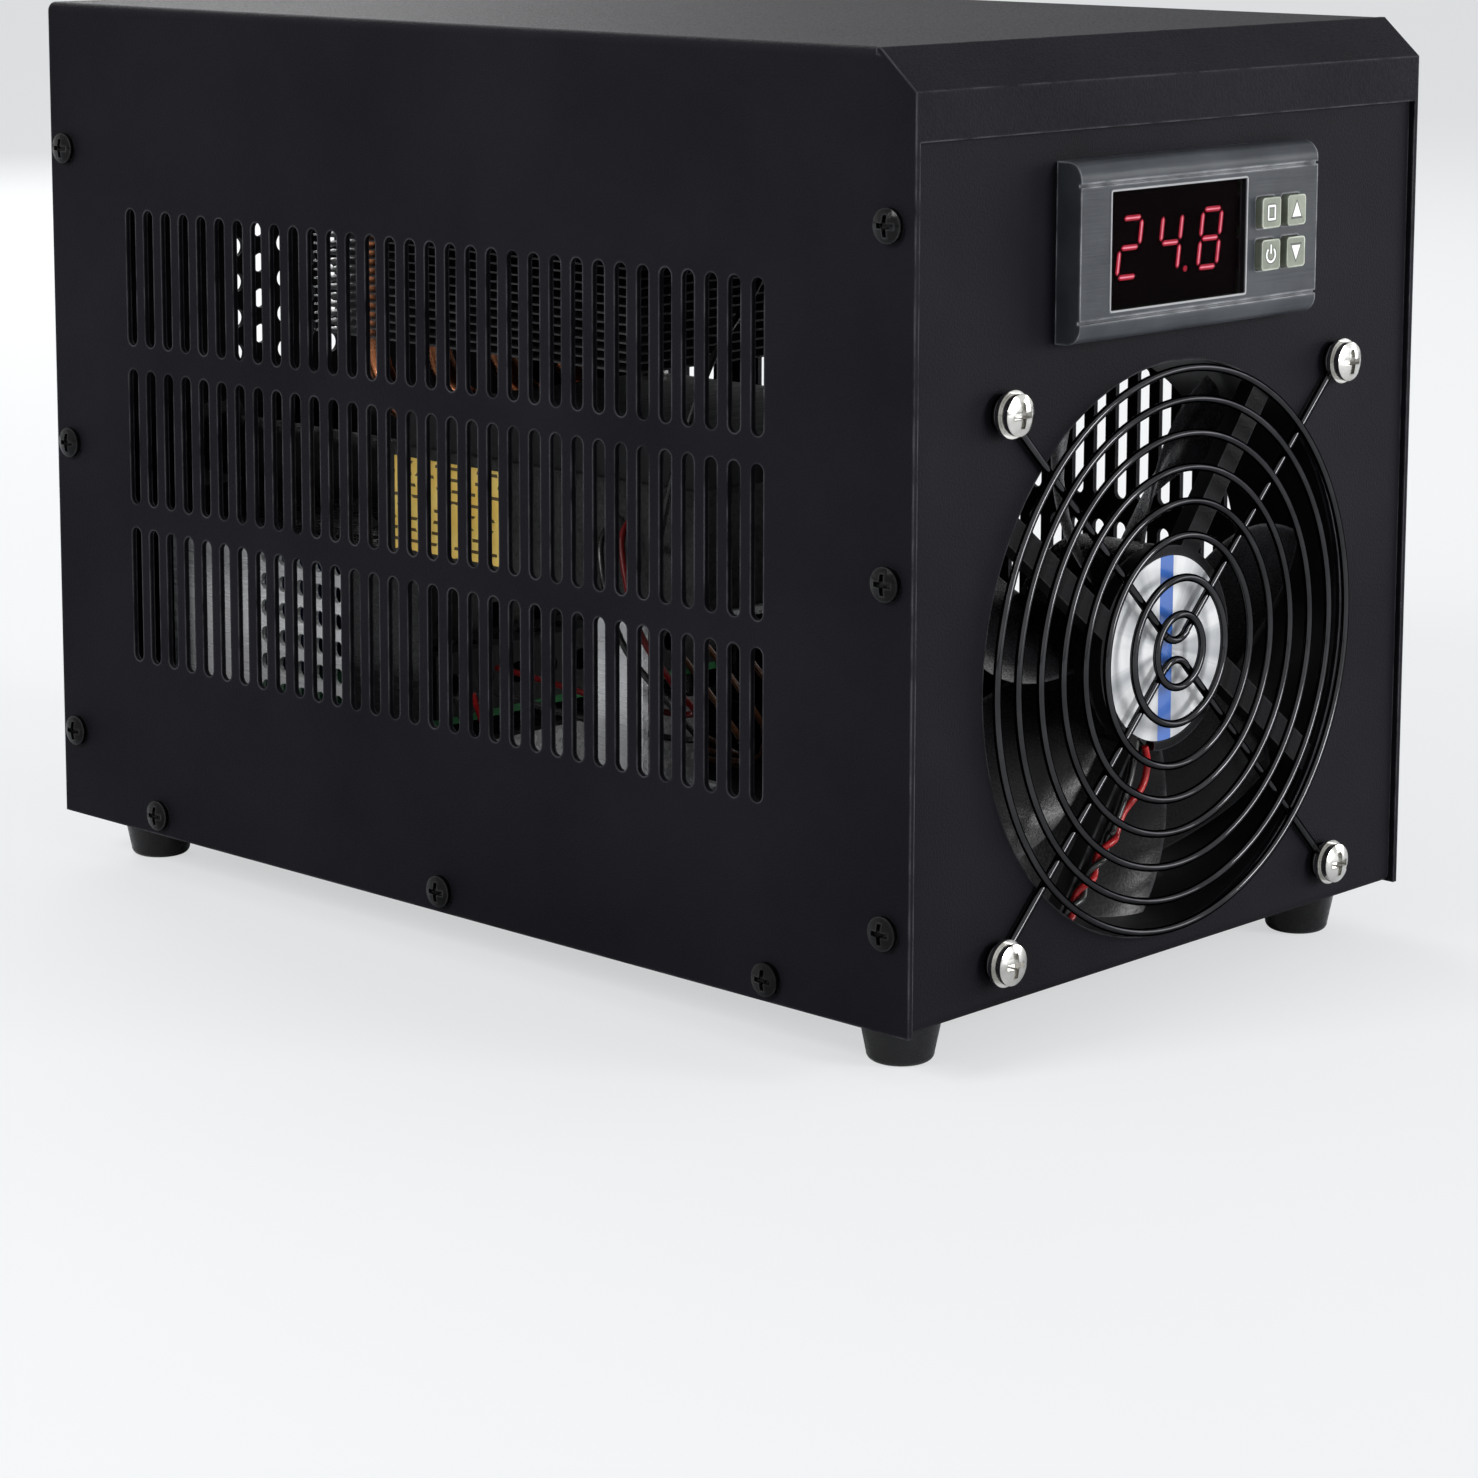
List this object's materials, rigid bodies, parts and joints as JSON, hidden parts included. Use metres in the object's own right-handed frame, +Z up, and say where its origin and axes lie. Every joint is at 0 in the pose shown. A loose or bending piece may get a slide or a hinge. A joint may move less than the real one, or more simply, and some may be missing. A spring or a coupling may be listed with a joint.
{
  "type": "aquarium chiller",
  "caption": "Thermoelectric aquarium chiller: black slotted steel case, front fan behind a wire guard, temperature controller with red digits, and rear hose tails.",
  "frame": {"origin": "middle of the footprint on the surface the feet stand on", "axes": "+Z up, the fan and controller face -Y, +X to the right seen from the front"},
  "size_m": [0.162, 0.2892, 0.193],
  "materials": {
    "case_paint": "fine-texture powder coat",
    "black_screws": "black oxide",
    "foot_rubber": "matt",
    "nickel": "nickel plated",
    "fan_plastic": "gloss",
    "rotor_plastic": "satin",
    "hub_label": "printed foil",
    "circuit_board": "solder mask",
    "core_steel": "laminated",
    "copper": "copper",
    "guard_wire": "glossy black",
    "red_lead": "insulation",
    "black_lead": "insulation",
    "brown_lead": "insulation",
    "magnet": "ferrite",
    "bezel_plastic": "fine texture",
    "inner_plastic": "matt",
    "window_tint": "tinted acrylic",
    "display_black": "matt",
    "display_red": "lit segments",
    "switch_black": "matt",
    "clip_orange": "plain",
    "terminal_green": "plain",
    "button_grey": "silicone",
    "aluminium_sheet": "bare",
    "ferrite": "taped core",
    "capacitor_sleeve": "sleeved",
    "terminal_black": "matt",
    "foam_black": "closed-cell foam",
    "yellow_label": "paper",
    "machined_aluminium": "machined",
    "sink_black": "anodised",
    "module_ceramic": "ceramic",
    "tail_plastic": "moulded",
    "hose_black": "silicone",
    "inlet_plastic": "moulded",
    "pin_brass": "nickel over brass",
    "rocker_red": "gloss"
  },
  "bodies": {
    "chiller": {"base_chassis": "case_paint", "top_cover": "case_paint", "cover_screws": "black_screws", "rubber_feet": "foot_rubber", "foot_fasteners": "nickel", "fan_frame": "fan_plastic", "fan_hub_label": "hub_label", "fan_circuit_board": "circuit_board", "fan_stator_core": "core_steel", "fan_coils": "copper", "fan_bearings": "nickel", "fan_guard": "guard_wire", "fan_guard_screws": "nickel", "fan_guard_nuts": "nickel", "fan_lead_red": "red_lead", "fan_lead_black": "black_lead", "controller_bezel": "bezel_plastic", "controller_case": "inner_plastic", "controller_window": "window_tint", "display_module": "display_black", "display_digits": "display_red", "controller_boards": "circuit_board", "button_switches": "switch_black", "controller_clips": "clip_orange", "controller_terminals": "terminal_green", "power_supply_base": "aluminium_sheet", "power_supply_cover": "aluminium_sheet", "power_supply_board": "circuit_board", "power_supply_transformer": "ferrite", "power_supply_capacitors": "capacitor_sleeve", "power_supply_terminals": "terminal_black", "power_supply_rails": "aluminium_sheet", "cooler_bracket": "aluminium_sheet", "cold_box": "foam_black", "cold_box_label": "yellow_label", "water_block": "machined_aluminium", "peltier_modules": "module_ceramic", "peltier_lead_red": "red_lead", "peltier_lead_black": "black_lead", "heat_sink_base": "sink_black", "heat_pipes": "copper", "heat_sink_fins": "machined_aluminium", "cooler_screws": "nickel", "water_inlet_tail": "tail_plastic", "water_outlet_tail": "tail_plastic", "tail_nuts": "tail_plastic", "water_hoses": "hose_black", "temperature_probe": "black_lead", "mains_inlet": "inlet_plastic", "mains_pins": "pin_brass", "mains_leads": "brown_lead"},
    "fan_rotor": {"fan_rotor": "rotor_plastic", "fan_magnet": "magnet", "fan_shaft": "nickel"},
    "set_button": {"set_button": "button_grey"},
    "up_button": {"up_button": "button_grey"},
    "power_button": {"power_button": "button_grey"},
    "down_button": {"down_button": "button_grey"},
    "rocker": {"rocker_switch": "rocker_red"},
    "fuse_drawer": {"fuse_drawer": "inlet_plastic"}
  },
  "joints": [
    {"name": "fan_spin", "type": "hinge", "parent": "chiller", "child": "fan_rotor", "pos_m": [0, -0.12345, 0.072], "axis": [0, 1, 0], "continuous": true},
    {"name": "set_press", "type": "slide", "parent": "chiller", "child": "set_button", "axis": [0, 1, 0], "range_m": [0, 0.0008], "stiffness_N_per_m": 400, "springref_m": -0.0004},
    {"name": "up_press", "type": "slide", "parent": "chiller", "child": "up_button", "axis": [0, 1, 0], "range_m": [0, 0.0008], "stiffness_N_per_m": 400, "springref_m": -0.0004},
    {"name": "power_press", "type": "slide", "parent": "chiller", "child": "power_button", "axis": [0, 1, 0], "range_m": [0, 0.0008], "stiffness_N_per_m": 400, "springref_m": -0.0004},
    {"name": "down_press", "type": "slide", "parent": "chiller", "child": "down_button", "axis": [0, 1, 0], "range_m": [0, 0.0008], "stiffness_N_per_m": 400, "springref_m": -0.0004},
    {"name": "rocker_tilt", "type": "hinge", "parent": "chiller", "child": "rocker", "pos_m": [0.056, 0.11475, 0.0645], "axis": [1, 0, 0], "range_deg": [-16, 0]},
    {"name": "fuse_drawer_slide", "type": "slide", "parent": "chiller", "child": "fuse_drawer", "axis": [0, 1, 0], "range_m": [0, 0.014]}
  ]
}
